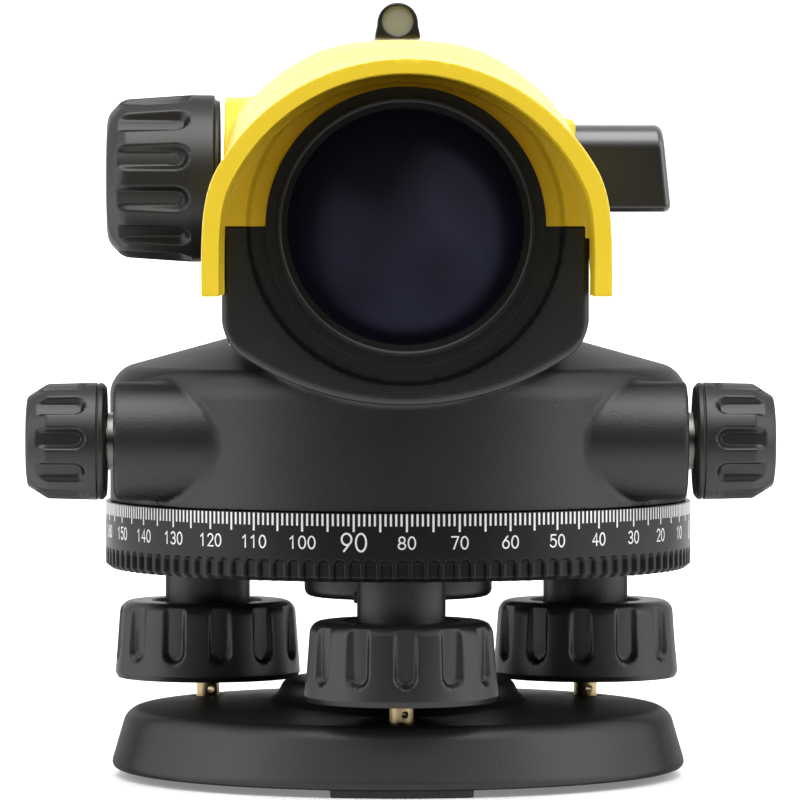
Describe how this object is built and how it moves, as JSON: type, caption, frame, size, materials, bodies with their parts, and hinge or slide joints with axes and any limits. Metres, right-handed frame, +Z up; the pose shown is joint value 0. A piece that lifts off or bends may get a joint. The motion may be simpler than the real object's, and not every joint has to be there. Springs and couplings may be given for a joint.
{
  "type": "automatic level",
  "caption": "Surveyor's automatic level: telescope with pendulum compensator, hooded objective, focusing and slow-motion knobs, graduated circle and three-screw levelling base.",
  "frame": {"origin": "on the vertical standing axis, in the resting plane of the base pads", "axes": "+Z up along the standing axis, -Y along the line of sight towards the target, +X to the right of a person who faces the objective"},
  "size_m": [0.1172, 0.19, 0.1242],
  "materials": {
    "base_paint": "fine-textured charcoal paint",
    "drum_paint": "fine-textured blue-grey paint",
    "cover_plastic": "satin yellow moulding",
    "knob_plastic": "fine matt moulding",
    "black_plastic": "satin black moulding",
    "ring_black": "satin black with white graduations",
    "black_metal": "matt black anodising",
    "aluminium": "machined",
    "steel": "turned",
    "brass": "turned",
    "spring_steel": "rolled",
    "nylon": "moulded",
    "glass": "polished",
    "coated_glass": "polished with a violet-blue coating",
    "vial": "clear vial with green spirit",
    "rubber": "matt",
    "magnet": "plain"
  },
  "bodies": {
    "base": {"base_plate": "base_paint", "tripod_thread_bush": "brass", "retaining_spring": "spring_steel", "retaining_spring_screws": "steel", "front_ball_cup": "nylon"},
    "front_foot_screw": {"front_foot_knob": "knob_plastic", "front_foot_spindle": "brass"},
    "right_foot_screw": {"right_foot_knob": "knob_plastic", "right_foot_spindle": "brass"},
    "left_foot_screw": {"left_foot_knob": "knob_plastic", "left_foot_spindle": "brass"},
    "tilt_link": {"rear_ball_cups": "nylon"},
    "levelling_head": {"levelling_head": "base_paint", "screw_bushes": "brass", "axis_bush": "brass", "circle_brake_ring": "spring_steel", "clutch_washer": "spring_steel"},
    "circle_ring": {"graduated_ring": "ring_black"},
    "worm_wheel": {"worm_wheel": "brass"},
    "instrument": {"lower_housing": "drum_paint", "upper_cover": "cover_plastic", "housing_gasket": "rubber", "cover_screws": "steel", "standing_spindle": "steel", "spindle_screws": "steel", "spindle_nut": "steel", "drive_bushes": "steel", "objective_cell": "black_metal", "objective_lens": "coated_glass", "objective_retaining_ring": "black_metal", "telescope_tube": "aluminium", "focus_bush": "brass", "compensator_frame": "aluminium", "compensator_prisms": "glass", "damping_magnets": "magnet", "reticle_mount": "brass", "reticle_glass": "glass", "reticle_screws": "steel", "eyepiece_mount": "black_metal", "bubble_housing": "black_plastic", "bubble_vial": "vial", "bubble_prism": "glass", "bubble_window": "glass", "sight_housing": "black_plastic", "sight_lenses": "glass"},
    "horizontal_drive": {"drive_shaft": "steel", "drive_worm": "steel", "left_drive_knob": "knob_plastic", "right_drive_knob": "knob_plastic"},
    "focus_drive": {"focus_shaft": "steel", "focus_knob": "knob_plastic"},
    "focus_carriage": {"focus_carriage": "aluminium", "focusing_lens": "glass"},
    "pendulum": {"pendulum": "brass", "pendulum_prism": "glass", "suspension_tapes": "spring_steel"},
    "diopter": {"diopter_ring": "knob_plastic", "eyecup": "rubber"},
    "eyepiece": {"eyepiece_cell": "black_metal", "eyepiece_lenses": "glass"}
  },
  "joints": [
    {"name": "front_screw_turn", "type": "hinge", "parent": "base", "child": "front_foot_screw", "pos_m": [0, -0.0357, 0.0066], "axis": [0, 0, 1], "range_deg": [-720, 720]},
    {"name": "left_screw_turn", "type": "hinge", "parent": "base", "child": "left_foot_screw", "pos_m": [-0.03092, 0.01785, 0.0066], "axis": [0, 0, 1], "range_deg": [-540, 540]},
    {"name": "right_screw_turn", "type": "hinge", "parent": "base", "child": "right_foot_screw", "pos_m": [0.03092, 0.01785, 0.0066], "axis": [0, 0, 1], "range_deg": [-540, 540]},
    {"name": "level_pitch", "type": "hinge", "parent": "base", "child": "tilt_link", "pos_m": [0, 0.01785, 0.0066], "axis": [1, 0, 0], "range_deg": [-1.62, 1.62]},
    {"name": "level_roll", "type": "hinge", "parent": "tilt_link", "child": "levelling_head", "pos_m": [0, 0.01785, 0.0066], "axis": [0, 1, 0], "range_deg": [-2.1, 2.1]},
    {"name": "azimuth", "type": "hinge", "parent": "levelling_head", "child": "instrument", "pos_m": [0, 0, 0.05], "axis": [0, 0, 1], "continuous": true},
    {"name": "circle_turn", "type": "hinge", "parent": "levelling_head", "child": "circle_ring", "pos_m": [0, 0, 0.0415], "axis": [0, 0, 1], "continuous": true},
    {"name": "drive_spin", "type": "hinge", "parent": "instrument", "child": "horizontal_drive", "pos_m": [0, -0.027, 0.0546], "axis": [1, 0, 0], "continuous": true},
    {"name": "worm_wheel_turn", "type": "hinge", "parent": "instrument", "child": "worm_wheel", "pos_m": [0, 0, 0.0546], "axis": [0, 0, 1], "continuous": true},
    {"name": "focus_turn", "type": "hinge", "parent": "instrument", "child": "focus_drive", "pos_m": [-0.0375, -0.006, 0.0958], "axis": [1, 0, 0], "range_deg": [-150, 150]},
    {"name": "focus_slide", "type": "slide", "parent": "instrument", "child": "focus_carriage", "axis": [0, 1, 0], "range_m": [-0.0079, 0.0079]},
    {"name": "pendulum_swing", "type": "hinge", "parent": "instrument", "child": "pendulum", "pos_m": [0, 0.037, 0.104], "axis": [1, 0, 0], "range_deg": [-0.5, 0.5]},
    {"name": "diopter_turn", "type": "hinge", "parent": "instrument", "child": "diopter", "pos_m": [0, 0.077, 0.0884], "axis": [0, 1, 0], "range_deg": [-150, 150]},
    {"name": "eyepiece_slide", "type": "slide", "parent": "instrument", "child": "eyepiece", "axis": [0, 1, 0], "range_m": [-0.00252, 0.00252]}
  ],
  "couplings": [
    {"joint": "right_screw_turn", "follows": "left_screw_turn", "ratio": -1},
    {"joint": "level_pitch", "follows": "front_screw_turn", "ratio": 0.0022291},
    {"joint": "level_roll", "follows": "left_screw_turn", "ratio": -0.0038609},
    {"joint": "worm_wheel_turn", "follows": "drive_spin", "ratio": -0.02},
    {"joint": "focus_slide", "follows": "focus_turn", "m_per_rad": 0.003},
    {"joint": "eyepiece_slide", "follows": "diopter_turn", "m_per_rad": 0.0009549}
  ]
}
